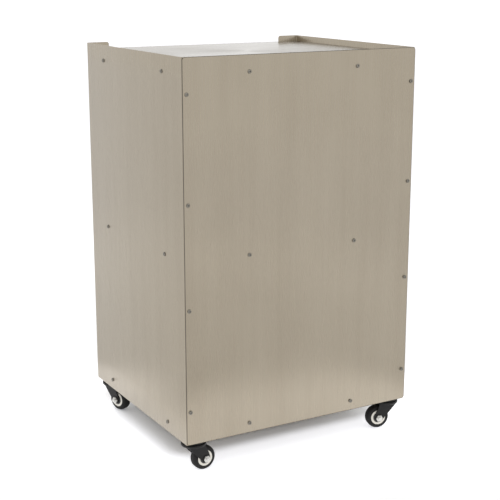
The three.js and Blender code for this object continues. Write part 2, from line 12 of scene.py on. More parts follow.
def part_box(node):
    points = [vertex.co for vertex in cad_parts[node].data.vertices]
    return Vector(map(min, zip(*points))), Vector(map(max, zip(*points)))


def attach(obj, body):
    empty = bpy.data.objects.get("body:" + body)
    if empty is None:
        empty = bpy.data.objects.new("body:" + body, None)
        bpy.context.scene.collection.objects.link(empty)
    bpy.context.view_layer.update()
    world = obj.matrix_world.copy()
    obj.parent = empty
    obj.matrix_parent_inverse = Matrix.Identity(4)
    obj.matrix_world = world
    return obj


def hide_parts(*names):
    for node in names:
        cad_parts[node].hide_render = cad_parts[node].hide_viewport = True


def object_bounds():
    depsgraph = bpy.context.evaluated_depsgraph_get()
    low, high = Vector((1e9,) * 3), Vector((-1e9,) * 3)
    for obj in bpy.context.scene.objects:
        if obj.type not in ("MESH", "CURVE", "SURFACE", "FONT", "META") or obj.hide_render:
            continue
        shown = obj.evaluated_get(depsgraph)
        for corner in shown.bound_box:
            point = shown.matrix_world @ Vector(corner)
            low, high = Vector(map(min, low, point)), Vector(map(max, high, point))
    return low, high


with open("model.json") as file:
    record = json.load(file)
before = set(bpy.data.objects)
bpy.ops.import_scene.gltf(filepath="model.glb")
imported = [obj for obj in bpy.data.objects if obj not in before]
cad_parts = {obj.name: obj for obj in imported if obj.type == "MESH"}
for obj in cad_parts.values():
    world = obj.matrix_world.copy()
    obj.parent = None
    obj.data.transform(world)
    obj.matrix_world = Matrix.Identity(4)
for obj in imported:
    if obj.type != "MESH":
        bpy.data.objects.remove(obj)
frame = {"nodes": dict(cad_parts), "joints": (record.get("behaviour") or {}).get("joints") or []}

CAD_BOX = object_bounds()
MM = 0.001
SHEET = 1.2 * MM
BEND = 2.0 * MM
BEND_STEPS = 6
CLEARANCE = 0.3 * MM
EDGE_SOFTENING = 0.22 * MM
BACK_CORNER = 6 * MM
SIDE_CORNER = 5 * MM
REAR_FLANGE = 25 * MM

JOINTS = {joint["name"]: joint for joint in frame["joints"]}
CASTERS = ["front_left", "front_right", "rear_left", "rear_right"]

IDENTITY = Matrix.Identity(4)
FLIP = Matrix.Rotation(math.pi, 4, "X")
# A local frame whose +Z faces the front of the cart (-Y) and whose +Y is up.
FRONT = Matrix(((1, 0, 0, 0), (0, 0, -1, 0), (0, 1, 0, 0), (0, 0, 0, 1)))

# ---- camera, at the photo's angle ----
CAMERA_PLACE = (1.198, 2.132, 0.983)
CAMERA_HEADING = math.radians(240.31)
CAMERA_TILT = math.radians(-13.91)
CAMERA_LENS = 83.6
SENSOR_WIDTH = 36


def make_camera():
    data = bpy.data.cameras.new("camera")
    data.lens = CAMERA_LENS
    data.sensor_width = SENSOR_WIDTH
    camera = bpy.data.objects.new("camera", data)
    bpy.context.scene.collection.objects.link(camera)
    camera.location = CAMERA_PLACE
    level = Vector((math.cos(CAMERA_HEADING), math.sin(CAMERA_HEADING), 0)) * math.cos(CAMERA_TILT)
    look = level + Vector((0, 0, math.sin(CAMERA_TILT)))
    camera.rotation_mode = "QUATERNION"
    camera.rotation_quaternion = look.to_track_quat("-Z", "Y")
    bpy.context.scene.camera = camera


make_camera()


# ---- materials ----
def set_range(node, low, high, out_low, out_high):
    for socket, number in (("From Min", low), ("From Max", high), ("To Min", out_low), ("To Max", out_high)):
        node.inputs[socket].default_value = number


class Nodes:
    """Short calls for building one material's node tree."""

    def __init__(self, name):
        self.material = bpy.data.materials.new(name)
        self.material.use_nodes = True
        self.tree = self.material.node_tree
        self.shader = next(n for n in self.tree.nodes if n.type == "BSDF_PRINCIPLED")

    def add(self, kind, **settings):
        node = self.tree.nodes.new(kind)
        for key, value in settings.items():
            setattr(node, key, value)
        return node

    def feed(self, node, socket, value):
        if isinstance(value, bpy.types.NodeSocket):
            self.tree.links.new(value, node.inputs[socket])
        else:
            node.inputs[socket].default_value = value

    def place(self, scale):
        coordinates = self.add("ShaderNodeTexCoord")
        mapping = self.add("ShaderNodeMapping")
        self.feed(mapping, "Vector", coordinates.outputs["Object"])
        mapping.inputs["Scale"].default_value = scale
        return mapping

    def noise(self, scale, size, detail=4.0, roughness=0.55):
        texture = self.add("ShaderNodeTexNoise")
        self.feed(texture, "Vector", self.place(scale).outputs[0])
        texture.inputs["Scale"].default_value = size
        texture.inputs["Detail"].default_value = detail
        texture.inputs["Roughness"].default_value = roughness
        return texture.outputs["Fac"]

    def span(self, value, low, high, out_low, out_high):
        node = self.add("ShaderNodeMapRange")
        self.feed(node, "Value", value)
        set_range(node, low, high, out_low, out_high)
        return node.outputs["Result"]

    def combine(self, operation, first, second):
        node = self.add("ShaderNodeMath", operation=operation)
        self.feed(node, 0, first)
        self.feed(node, 1, second)
        return node.outputs[0]

    def mix_colour(self, factor, first, second):
        node = self.add("ShaderNodeMix", data_type="RGBA")
        self.feed(node, 0, factor)
        for socket, colour in ((6, first), (7, second)):
            self.feed(node, socket, colour if isinstance(colour, bpy.types.NodeSocket) else (*colour, 1))
        return node.outputs[2]

    def vector(self, operation, first, second=None):
        node = self.add("ShaderNodeVectorMath", operation=operation)
        self.feed(node, 0, first)
        if second is not None:
            node.inputs[1].default_value = second
        return node.outputs["Value" if operation == "LENGTH" else "Vector"]

    def outside_box(self, low, high):
        """The distance of a point outside a box, which may be endless along an axis, and 0 inside it."""
        middle = [(a + b) / 2 for a, b in zip(low, high)]
        half = [(b - a) / 2 for a, b in zip(low, high)]
        place = self.add("ShaderNodeTexCoord").outputs["Object"]
        offset = self.vector("ABSOLUTE", self.vector("SUBTRACT", place, middle))
        past = self.vector("MAXIMUM", self.vector("SUBTRACT", offset, half), (0, 0, 0))
        return self.vector("LENGTH", past)

    def bump(self, height, strength, distance, below=None):
        node = self.add("ShaderNodeBump")
        self.feed(node, "Height", height)
        node.inputs["Strength"].default_value = strength
        node.inputs["Distance"].default_value = distance
        if below is not None:
            self.feed(node, "Normal", below)
        return node.outputs["Normal"]

    def finish(self, colour, roughness, normal, metallic=0.0, **constants):
        self.feed(self.shader, "Base Color", colour)
        self.feed(self.shader, "Roughness", roughness)
        self.feed(self.shader, "Normal", normal)
        self.shader.inputs["Metallic"].default_value = metallic
        for key, value in constants.items():
            self.shader.inputs[key.replace("_", " ")].default_value = value
        return self.material


def brushed_stainless(name, grain_axis, light, dark, smooth, rough, unshaded=None):
    """Stainless sheet: fine scratches along the grain, cloudy patches from polishing and a faint waviness.

    The last argument is a box and a distance: painted shade, dark as the shadow in the seam at a cut or
    folded edge, starts that far outside the box.
    """
    nodes = Nodes(name)
    fine = [9.0 if axis == grain_axis else 1000.0 for axis in "XYZ"]
    wide = [1.2 if axis == grain_axis else 26.0 for axis in "XYZ"]
    scratches = nodes.noise(fine, 1.0, 3.0, 0.6)
    streaks = nodes.noise(wide, 1.0, 5.0, 0.6)
    clouds = nodes.noise((1, 1, 1), 5.5, 3.0, 0.5)
    waves = nodes.noise((1, 1, 0.6), 3.2, 1.0, 0.4)
    streak_share = nodes.span(streaks, 0.3, 0.7, 0.0, 0.5)
    blend = nodes.combine("ADD", streak_share, nodes.span(clouds, 0.3, 0.7, 0.0, 0.5))
    colour = nodes.mix_colour(blend, dark, light)
    if unshaded:
        low, high, reach = unshaded
        # Painted shade: the colour turns dark along the seam, outside the box, where a shadow falls between
        # the parts.
        seam_shade = nodes.span(nodes.outside_box(low, high), reach, reach + SEAM_SHADE_FADE, 0.0, 1.0)
        colour = nodes.mix_colour(seam_shade, colour, SEAM_SHADE_COLOUR)
    gloss = nodes.span(scratches, 0.25, 0.75, smooth, rough)
    gloss = nodes.combine("ADD", gloss, nodes.span(clouds, 0.3, 0.7, -0.03, 0.03))
    normal = nodes.bump(waves, 0.25, 0.004)
    normal = nodes.bump(scratches, 0.10, 0.0002, normal)
    return nodes.finish(colour, gloss, normal, 1.0, Anisotropic=0.55)


def plated_steel(name, patch_size, dark, light, smooth):
    """Zinc or nickel plate: cloudy patches and fine scratches."""
    nodes = Nodes(name)
    patches = nodes.noise((1, 1, 1), patch_size, 3.0)
    scratches = nodes.noise((900, 900, 2500), 1.0, 2.0)
    colour = nodes.mix_colour(patches, dark, light)
    gloss = nodes.span(patches, 0.3, 0.7, smooth, 0.36)
    return nodes.finish(colour, gloss, nodes.bump(scratches, 0.12, 0.0001), 1.0)


def coated(name, grain, patches, dark, light, rough, relief=0.12, **constants):
    """Paint, rubber or plastic: a fine grain in relief and worn patches, each given as (size, detail)."""
    nodes = Nodes(name)
    height = nodes.noise((1, 1, 1), *grain)
    wear = nodes.noise((1, 1, 1), *patches)
    colour = nodes.mix_colour(wear, dark, light)
    gloss = nodes.span(wear, 0.3, 0.7, *rough)
    return nodes.finish(colour, gloss, nodes.bump(height, relief, 0.0002), 0.0, **constants)


WARM = ((0.368, 0.324, 0.256), (0.322, 0.280, 0.218))
# Painted shade: the same stainless made darker for the flat plates, so that their tops look less bright.
WARM_PAINTED_SHADE = ((0.285, 0.255, 0.208), (0.252, 0.223, 0.181))
UPRIGHT_GLOSS = (0.22, 0.34)
# Painted shade: the colour, width and fade of the dark band painted along the seams of the back panel and the
# side panels' folds.
SEAM_SHADE_COLOUR = (0.045, 0.038, 0.030)
SEAM_SHADE_WIDTH = 1.0 * MM
SEAM_SHADE_FADE = 0.5 * MM
DULL = 0.22


def back_seam_shade():
    """The back panel has painted shade, dark as the shadow of its seam with the side panels, in the last
    millimetre before its border.
    """
    low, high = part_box("back_panel")
    inner_low = (low.x + BACK_CORNER, -1, low.z + BACK_CORNER)
    inner_high = (high.x - BACK_CORNER, 1, high.z - BACK_CORNER)
    return inner_low, inner_high, BACK_CORNER - SEAM_SHADE_WIDTH


def side_seam_shade():
    """The side panels have painted shade, dark as the shadow of the seam, on the outer curve of the fold that
    goes behind the back panel.
    """
    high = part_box("side_panel_right")[1]
    inset = 3 * MM
    return (inset - high.x, -1, -1), (high.x - inset, high.y - inset, 1), inset + 0.25 * MM


STAINLESS_UPRIGHT = brushed_stainless("stainless_grain_upright", "Z", *WARM, *UPRIGHT_GLOSS)
STAINLESS_BACK = brushed_stainless("stainless_back_seam_shaded", "Z", *WARM, *UPRIGHT_GLOSS, back_seam_shade())
STAINLESS_SIDES = brushed_stainless("stainless_sides_seam_shaded", "Z", *WARM, *UPRIGHT_GLOSS, side_seam_shade())
# The flat plates take the darker copy of the same steel: painted shade.
STAINLESS_FLAT = brushed_stainless("stainless_grain_across", "X", *WARM_PAINTED_SHADE, 0.16, 0.28)
BRIGHT = plated_steel("bright_zinc_steel", 220.0, (0.50, 0.49, 0.46), (0.66, 0.65, 0.62), 0.2)
SCREW_STEEL = plated_steel("dull_screw_steel", 300.0, (0.15, 0.14, 0.12), (0.27, 0.255, 0.225), 0.22)
ENAMEL = coated(
    "black_enamel", (1400.0, 2.0), (60.0, 4.0), (0.005, 0.005, 0.005), (0.013, 0.012, 0.011), (0.28, 0.45),
    Specular_IOR_Level=DULL,
)
RUBBER = coated(
    "black_rubber", (2600.0, 3.0), (120.0, 5.0), (0.004, 0.004, 0.004), (0.016, 0.015, 0.014), (0.5, 0.75),
    relief=0.25, Specular_IOR_Level=DULL,
)
CREAM = coated(
    "cream_nylon", (1800.0, 2.0), (90.0, 3.0), (0.66, 0.63, 0.56), (0.74, 0.71, 0.64), (0.35, 0.5)
)
BLACK_PLASTIC = coated(
    "black_nylon", (1800.0, 2.0), (90.0, 3.0), (0.012, 0.012, 0.012), (0.03, 0.03, 0.03), (0.4, 0.6)
)


# ---- pieces ----
def on_front(x, y, z):
    return Matrix.Translation((x, y, z)) @ FRONT


def mesh_from(name, vertices, faces):
    mesh = bpy.data.meshes.new(name)
    mesh.from_pydata([tuple(v) for v in vertices], [], faces)
    mesh.update()
    return mesh


def mesh_of(bm, name):
    mesh = bpy.data.meshes.new(name)
    bm.to_mesh(mesh)
    bm.free()
    return mesh


def shade(mesh):
    """Smooth shading, with the edges sharper than 35 degrees kept crisp."""
    mesh.polygons.foreach_set("use_smooth", [True] * len(mesh.polygons))
    mesh.set_sharp_from_angle(angle=math.radians(35))


def applied(obj):
    """Applies an object's modifiers to its mesh."""
    bpy.context.view_layer.update()
    evaluated = obj.evaluated_get(bpy.context.evaluated_depsgraph_get())
    mesh = bpy.data.meshes.new_from_object(evaluated)
    old = obj.data
    obj.modifiers.clear()
    obj.data = mesh
    if old.users == 0:
        bpy.data.meshes.remove(old)
    return mesh


def scratch_object(mesh):
    obj = bpy.data.objects.new("scratch", mesh)
    bpy.context.scene.collection.objects.link(obj)
    return obj


def softened(mesh, width, segments=2, thickness=None, angle=40):
    """The mesh with thickness added to an open sheet, where asked, and its sharp edges rounded."""
    obj = scratch_object(mesh)
    if thickness is not None:
        solid = obj.modifiers.new("thickness", "SOLIDIFY")
        solid.thickness = thickness
        solid.offset = -1
        solid.use_even_offset = True
    bevel = obj.modifiers.new("edges", "BEVEL")
    bevel.width = width
    bevel.segments = segments
    bevel.limit_method = "ANGLE"
    bevel.angle_limit = math.radians(angle)
    result = applied(obj)
    bpy.data.objects.remove(obj)
    return result


def piece(name, mesh, material, body, replaced=None, matrix=IDENTITY):
    """A named piece of the object that rides on a body and stands for a CAD node, where it replaces one."""
    if not mesh.get("shaded"):
        shade(mesh)
        mesh["shaded"] = True
    if not mesh.materials:
        mesh.materials.append(material)
    obj = bpy.data.objects.new(name, mesh)
    bpy.context.scene.collection.objects.link(obj)
    obj.matrix_world = matrix
    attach(obj, body)
    if replaced:
        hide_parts(replaced)


def turned(profile, sides):
    """A closed profile of (radius, height) turned about Z. Points on the axis become one point."""
    bm = bmesh.new()
    rings = []
    for radius, height in profile:
        if radius < 1e-9:
            rings.append([bm.verts.new((0, 0, height))])
            continue
        ring = []
        for step in range(sides):
            angle = 2 * math.pi * step / sides
            ring.append(bm.verts.new((radius * math.cos(angle), radius * math.sin(angle), height)))
        rings.append(ring)
    pairs = list(zip(rings, rings[1:]))
    if len(rings[0]) > 1:
        pairs.append((rings[-1], rings[0]))
    for low, high in pairs:
        for step in range(sides):
            after = (step + 1) % sides
            if len(low) == 1 and len(high) == 1:
                continue
            if len(low) == 1:
                bm.faces.new((low[0], high[after], high[step]))
            elif len(high) == 1:
                bm.faces.new((low[step], low[after], high[0]))
            else:
                bm.faces.new((low[step], low[after], high[after], high[step]))
    bmesh.ops.recalc_face_normals(bm, faces=bm.faces)
    return mesh_of(bm, "turned")


def rounded_profile(corners, steps=3):
    """A (radius, height) profile whose corners given as (r, h, rounding) are rounded by arcs."""
    points = []
    count = len(corners)
    for i, (r, h, rounding) in enumerate(corners):
        if rounding <= 0:
            points.append((r, h))
            continue
        here = Vector((r, h))
        before = Vector(corners[i - 1][:2])
        after = Vector(corners[(i + 1) % count][:2])
        start = here + (before - here).normalized() * rounding
        end = here + (after - here).normalized() * rounding
        for step in range(steps + 1):
            t = step / steps
            point = start * (1 - t) ** 2 + here * 2 * t * (1 - t) + end * t * t
            points.append((point.x, point.y))
    return points


def plate(outline, thickness, edge):
    """A flat plate in the XY plane, from z 0 to the thickness, with softened edges."""
    count = len(outline)
    vertices = [(x, y, 0) for x, y in outline] + [(x, y, thickness) for x, y in outline]
    faces = [tuple(reversed(range(count))), tuple(range(count, 2 * count))]
    for i in range(count):
        j = (i + 1) % count
        faces.append((i, j, count + j, count + i))
    return softened(mesh_from("plate", vertices, faces), edge)


def rounded_outline(low, high, radius, steps=6):
    points = []
    for sx, sy, quarter in ((1, 1, 0), (-1, 1, 1), (-1, -1, 2), (1, -1, 3)):
        x = (high[0] if sx > 0 else low[0]) - sx * radius
        y = (high[1] if sy > 0 else low[1]) - sy * radius
        for step in range(steps + 1):
            angle = (quarter + step / steps) * math.pi / 2
            points.append((x + radius * math.cos(angle), y + radius * math.sin(angle)))
    return points


def moved(mesh, matrix):
    copy = mesh.copy()
    copy.transform(matrix)
    return copy


def mirrored(mesh):
    copy = moved(mesh, Matrix.Scale(-1, 4, (1, 0, 0)))
    copy.flip_normals()
    return copy


def joined(meshes):
    bm = bmesh.new()
    for mesh in meshes:
        bm.from_mesh(mesh)
    return mesh_of(bm, "joined")


def with_boolean(mesh, tool, operation):
    obj = scratch_object(mesh)
    other = scratch_object(tool)
    modifier = obj.modifiers.new("boolean", "BOOLEAN")
    modifier.operation = operation
    modifier.object = other
    modifier.solver = "EXACT"
    result = applied(obj)
    bpy.data.objects.remove(obj)
    bpy.data.objects.remove(other)
    return result


# ---- folded sheet ----
def fold_steps(flange):
    """Points of a folded edge, from the bend's start to the flange's free edge.

    Each is (distance in from the outer face, drop below the flat).
    """
    points = []
    for step in range(BEND_STEPS + 1):
        angle = step / BEND_STEPS * math.pi / 2
        points.append((BEND - BEND * math.sin(angle), BEND - BEND * math.cos(angle)))
    points.append((0.0, flange))
    return points


def pan_axis(low, high, flange, cuts):
    """Rows across a pan, as (place, drop, is_fold), from its low side to its high side."""
    fold = fold_steps(flange)
    rows = [(low + inset, drop, drop > 1e-9) for inset, drop in reversed(fold)]
    inner = sorted(c for c in cuts if rows[-1][0] + 1e-6 < c < high - BEND - 1e-6)
    rows += [(c, 0.0, False) for c in inner]
    return rows + [(high - inset, drop, drop > 1e-9) for inset, drop in fold]


def spread(low, high, parts=10):
    """The inner places that cut a length into equal parts."""
    return [low + (high - low) * n / parts for n in range(1, parts)]


def pan(low, high, flange, notch):
    """A folded pan, flat at z 0 with a flange hanging down on all four sides.

    Corners between two flanges are left open by a small relief, as on folded sheet. notch is the width and
    depth of the sheet cut away at both ends of the +y side.
    """
    notch_low, notch_high, notch_y = low[0] + notch[0], high[0] - notch[0], high[1] - notch[1]
    columns = pan_axis(low[0], high[0], flange, [*spread(low[0], high[0]), notch_low, notch_high])
    rows = pan_axis(low[1], high[1], flange, [*spread(low[1], high[1]), notch_y])

    def kept(i, j):
        fold_x = columns[i][2] or columns[i + 1][2]
        fold_y = rows[j][2] or rows[j + 1][2]
        if fold_x and fold_y:
            return False
        middle_x = (columns[i][0] + columns[i + 1][0]) / 2
        middle_y = (rows[j][0] + rows[j + 1][0]) / 2
        return middle_y <= notch_y or notch_low <= middle_x <= notch_high

    bm = bmesh.new()
    verts = {}

    def vertex(i, j):
        if (i, j) not in verts:
            x, drop_x = columns[i][:2]
            y, drop_y = rows[j][:2]
            verts[i, j] = bm.verts.new((x, y, -drop_x - drop_y))
        return verts[i, j]

    for i in range(len(columns) - 1):
        for j in range(len(rows) - 1):
            if kept(i, j):
                bm.faces.new((vertex(i, j), vertex(i + 1, j), vertex(i + 1, j + 1), vertex(i, j + 1)))
    return softened(mesh_of(bm, "pan"), EDGE_SOFTENING, 2, SHEET)


def folded_path(path):
    """Plan points of a sheet's outer face: the path's corners, with the inner ones turned into bends."""
    points = [Vector(path[0])]
    for before, here, after in zip(path, path[1:], path[2:]):
        here = Vector(here)
        to_before = (Vector(before) - here).normalized()
        to_after = (Vector(after) - here).normalized()
        centre = here + (to_before + to_after) * BEND
        start = here + to_before * BEND - centre
        end = here + to_after * BEND - centre
        for step in range(BEND_STEPS + 1):
            angle = step / BEND_STEPS * math.pi / 2
            points.append(centre + start * math.cos(angle) + end * math.sin(angle))
    return [*points, Vector(path[-1])]


def channel(path, bottom, top, corner_radius):
    """A sheet folded along a plan path of outer-face corners, rounded at the top of the path's start."""
    points = folded_path(path)
    direction = (points[1] - points[0]).normalized()
    corner_steps = 8
    for step in range(corner_steps, 0, -1):
        along = corner_radius * (1 - math.cos(step / corner_steps * math.pi / 2))
        points.insert(1, points[0] + direction * along)
    levels = 14
    bm = bmesh.new()
    columns = []
    distance = 0.0
    before = points[0]
    for point in points:
        distance += (point - before).length
        before = point
        short = max(corner_radius - distance, 0)
        height = top - corner_radius + math.sqrt(corner_radius ** 2 - short ** 2) - bottom
        columns.append([bm.verts.new((*point, bottom + height * n / levels)) for n in range(levels + 1)])
    for left, right in zip(columns, columns[1:]):
        for n in range(levels):
            bm.faces.new((left[n], right[n], right[n + 1], left[n + 1]))
    return softened(mesh_of(bm, "channel"), EDGE_SOFTENING, 2, SHEET)


def build_side_panels():
    low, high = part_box("side_panel_right")
    path = [(low.x, low.y), (high.x, low.y), (high.x, high.y), (high.x - REAR_FLANGE, high.y)]
    right = channel(path, low.z, high.z, SIDE_CORNER)
    left = mirrored(right)
    piece("side_panel_right_sheet", right, STAINLESS_SIDES, "cabinet", "side_panel_right")
    piece("side_panel_left_sheet", left, STAINLESS_SIDES, "cabinet", "side_panel_left")


def build_back_panel():
    low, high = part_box("back_panel")
    outline = rounded_outline((low.x, low.z), (high.x, high.z), BACK_CORNER, 8)
    mesh = plate(outline, high.y - low.y, EDGE_SOFTENING)
    mesh.transform(on_front(0, high.y, 0))
    piece("back_panel_sheet", mesh, STAINLESS_BACK, "cabinet", "back_panel")


def build_inner_plates():
    """The tray top and the shelf hang their flanges down; the bottom plate is the same pan turned over."""
    notch = (REAR_FLANGE + CLEARANCE, 2 * SHEET + 0.1 * MM)
    for node in ("top_plate", "mid_shelf", "bottom_plate"):
        low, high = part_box(node)
        mesh = pan((low.x, low.y), (high.x, high.y), high.z - low.z, notch)
        level = high.z
        if node == "bottom_plate":
            mesh.transform(Matrix.Scale(-1, 4, (0, 0, 1)))
            mesh.flip_normals()
            level = low.z
        mesh.transform(Matrix.Translation((0, 0, level)))
        piece(f"{node}_sheet", mesh, STAINLESS_FLAT, "cabinet", node)


# ---- screws, each as head radius, head height, shank radius and length ----
PANEL_SCREW = (4 * MM, 2.4 * MM, 1.95 * MM, 8 * MM)
HINGE_SCREW = (3.1 * MM, 1.3 * MM, 1.6 * MM, 7 * MM)
CATCH_SCREW = (2.8 * MM, 1.5 * MM, 1.4 * MM, 7 * MM)
SIDE_SCREW_INSET = 87 * MM
GOLDEN_TURN = 2.39996
SCREW_NUMBERS = itertools.count(1)
FACING = {
    "+X": Matrix.Rotation(math.pi / 2, 4, "Y"),
    "-X": Matrix.Rotation(-math.pi / 2, 4, "Y"),
    "+Y": Matrix.Rotation(-math.pi / 2, 4, "X"),
    "-Y": Matrix.Rotation(math.pi / 2, 4, "X"),
}


def cross_cutter(reach, width, depth):
    """A tapered four-armed cutter for a cross recess, whose top is above z 0 and whose foot is at -depth."""
    arms = []
    lift = depth * 0.4
    foot = reach * 0.45
    for turn in range(2):
        corners = []
        for half_length, half_width, z in ((reach, width, lift), (foot, width * 0.7, -depth)):
            for sx, sy in ((-1, -1), (1, -1), (1, 1), (-1, 1)):
                corners.append((sx * half_length, sy * half_width, z))
        faces = [(0, 1, 2, 3), (7, 6, 5, 4), (1, 0, 4, 5), (2, 1, 5, 6), (3, 2, 6, 7), (0, 3, 7, 4)]
        arm = mesh_from("arm", corners, faces)
        arm.transform(Matrix.Rotation(turn * math.pi / 2, 4, "Z"))
        arms.append(arm)
    return with_boolean(arms[0], arms[1], "UNION")


def thread(radius, bottom, top, pitch):
    """Profile points of rolled thread ridges from the bottom to the top."""
    points = []
    count = int((top - bottom) / pitch)
    step = (top - bottom) / count
    for n in range(count):
        z = bottom + n * step
        points += [(radius * 0.86, z), (radius, z + step / 2)]
    points.append((radius * 0.86, top))
    return points


def pan_head_screw(head_radius, head_height, shank_radius, length):
    """A screw whose head stands on z 0 with a cross recess in it and whose threaded shank runs down."""
    profile = [(0, -length), (shank_radius * 0.6, -length)]
    profile += thread(shank_radius, -length + 0.4 * MM, 0, 0.7 * MM)
    rim = head_height * 0.34
    profile += [(head_radius - 0.2 * MM, 0), (head_radius, 0.2 * MM), (head_radius, rim)]
    steps = 6
    for step in range(1, steps):
        turn = step / steps * math.pi / 2
        profile.append((head_radius * math.cos(turn) ** 0.75, rim + (head_height - rim) * math.sin(turn)))
    profile.append((0, head_height))
    mesh = turned(profile, 28)
    cutter = cross_cutter(head_radius * 0.58, head_radius * 0.13, head_height * 0.62)
    cutter.transform(Matrix.Translation((0, 0, head_height)))
    return with_boolean(mesh, cutter, "DIFFERENCE")


def add_screw(name, mesh, spot, facing, body, node=None):
    """A screw at a spot, each turned to a different angle as driven screws are."""
    turn = Matrix.Rotation(next(SCREW_NUMBERS) * GOLDEN_TURN, 4, "Z")
    piece(name, mesh, SCREW_STEEL, body, node, Matrix.Translation(spot) @ FACING[facing] @ turn)


def middle_of(node):
    low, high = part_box(node)
    return (low + high) / 2


def build_panel_screws():
    mesh = pan_head_screw(*PANEL_SCREW)
    back_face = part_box("back_panel")[1].y
    for node in sorted(n for n in frame["nodes"] if n.startswith("back_screw_")):
        middle = middle_of(node)
        add_screw(f"{node}_fastener", mesh, Vector((middle.x, back_face, middle.z)), "+Y", "cabinet", node)
    low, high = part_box("side_panel_right")
    for hand, side, facing in (("right", 1, "+X"), ("left", -1, "-X")):
        for row in (1, 2, 3):
            z = middle_of(f"back_screw_right_inner_{row}").z
            for place, y in (("front", low.y + SIDE_SCREW_INSET), ("rear", back_face - SIDE_SCREW_INSET)):
                spot = Vector((side * high.x, y, z))
                add_screw(f"side_screw_{hand}_{place}_{row}", mesh, spot, facing, "cabinet")


# ---- door ----
DOOR_CORNER = 3 * MM
HANDLE_RADIUS = 5 * MM
HANDLE_BEND = 14 * MM
HANDLE_FOOT_RADIUS = 7 * MM
HANDLE_FOOT_HEIGHT = 2 * MM


def box_pan(low, high, depth, corner):
    """An open-backed pan with welded corners: flat at z 0, sides down to -depth, every edge rounded."""
    loops = []
    for step in range(BEND_STEPS, -1, -1):
        turn = step / BEND_STEPS * math.pi / 2
        loops.append((BEND * (1 - math.cos(turn)), -BEND * (1 - math.sin(turn))))
    loops.append((0.0, -depth))
    bm = bmesh.new()
    rings = []
    for inset, z in loops:
        inner_low = (low[0] + inset, low[1] + inset)
        inner_high = (high[0] - inset, high[1] - inset)
        outline = rounded_outline(inner_low, inner_high, corner - inset, 5)
        rings.append([bm.verts.new((x, y, z)) for x, y in outline])
    bm.faces.new(rings[0])
    for inner, outer in zip(rings, rings[1:]):
        count = len(inner)
        for n in range(count):
            m = (n + 1) % count
            bm.faces.new((inner[n], outer[n], outer[m], inner[m]))
    return softened(mesh_of(bm, "box_pan"), EDGE_SOFTENING, 2, SHEET)


def build_door():
    low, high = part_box("door_skin")
    skin = box_pan((low.x, low.z), (high.x, high.z), high.y - low.y, DOOR_CORNER)
    skin.transform(on_front(0, low.y, 0))
    piece("door_skin_sheet", skin, STAINLESS_UPRIGHT, "door", "door_skin")
    low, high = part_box("door_liner")
    outline = rounded_outline((low.x, low.z), (high.x, high.z), DOOR_CORNER)
    liner = plate(outline, high.y - low.y, EDGE_SOFTENING)
    liner.transform(on_front(0, high.y, 0))
    piece("door_liner_sheet", liner, STAINLESS_UPRIGHT, "door", "door_liner")


def tube_along(path, radius, sides):
    """A round bar swept along a planar path in the XY plane, closed at both ends."""
    bm = bmesh.new()
    rings = []
    last = len(path) - 1
    for n, point in enumerate(path):
        forward = (path[min(n + 1, last)] - path[max(n - 1, 0)]).normalized()
        across = Vector((-forward.y, forward.x, 0))
        ring = []
        for step in range(sides):
            turn = 2 * math.pi * step / sides
            lift = Vector((0, 0, radius * math.sin(turn)))
            ring.append(bm.verts.new(point + across * radius * math.cos(turn) + lift))
        rings.append(ring)
    for first, second in zip(rings, rings[1:]):
        for step in range(sides):
            after = (step + 1) % sides
            bm.faces.new((first[step], first[after], second[after], second[step]))
    bm.faces.new(list(reversed(rings[0])))
    bm.faces.new(rings[-1])
    bmesh.ops.recalc_face_normals(bm, faces=bm.faces)
    return mesh_of(bm, "bar")


def handle_path(half, reach):
    """The bar's middle line: half its length each way along X, and out to the reach along Y."""
    steps = 12
    path = []
    for side in (-1, 1):
        arc = [Vector((side * half, 0, 0)), Vector((side * half, (reach - HANDLE_BEND) / 2, 0))]
        for step in range(steps + 1):
            turn = step / steps * math.pi / 2
            x = half - HANDLE_BEND + HANDLE_BEND * math.cos(turn)
            arc.append(Vector((side * x, reach - HANDLE_BEND + HANDLE_BEND * math.sin(turn), 0)))
        path += arc if side < 0 else arc[::-1]
    return path


def build_handle():
    low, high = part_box("door_handle")
    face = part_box("door_skin")[0].y
    half = (high.z - low.z) / 2 - HANDLE_RADIUS
    reach = face - low.y - HANDLE_RADIUS
    bar = tube_along(handle_path(half, reach), HANDLE_RADIUS, 24)
    foot = turned(rounded_profile([
        (0, 0, 0), (HANDLE_FOOT_RADIUS, 0, 0), (HANDLE_FOOT_RADIUS, HANDLE_FOOT_HEIGHT, 1.2 * MM),
        (0, HANDLE_FOOT_HEIGHT, 0),
    ]), 32)
    foot.transform(Matrix.Rotation(-math.pi / 2, 4, "X"))
    mesh = joined([bar, *(moved(foot, Matrix.Translation((side * half, 0, 0))) for side in (-1, 1))])
    middle = (low + high) / 2
    upright = Matrix(((0, 0, 1, middle.x), (0, -1, 0, face), (1, 0, 0, middle.z), (0, 0, 0, 1)))
    mesh.transform(upright)
    piece("door_handle_bar", mesh, BRIGHT, "door", "door_handle")
    screw = pan_head_screw(*PANEL_SCREW)
    for place, z in (("lower", middle.z - half), ("upper", middle.z + half)):
        spot = Vector((middle.x, face + SHEET, z))
        add_screw(f"door_handle_screw_{place}", screw, spot, "+Y", "door")


# ---- hinges ----
KNUCKLE_RADIUS = 3.5 * MM
LEAF_WIDTH = 25 * MM
LEAF_THICKNESS = 1.5 * MM
LEAF_CORNER = 2.5 * MM
PIN_RADIUS = 1.6 * MM
PIN_CAP_RADIUS = 2.6 * MM
# Screw places of a leaf in millimetres: out from the pin and up from the leaf's middle.
LEAF_SCREWS = ((16.5, -21), (12.5, 0), (16.5, 21))


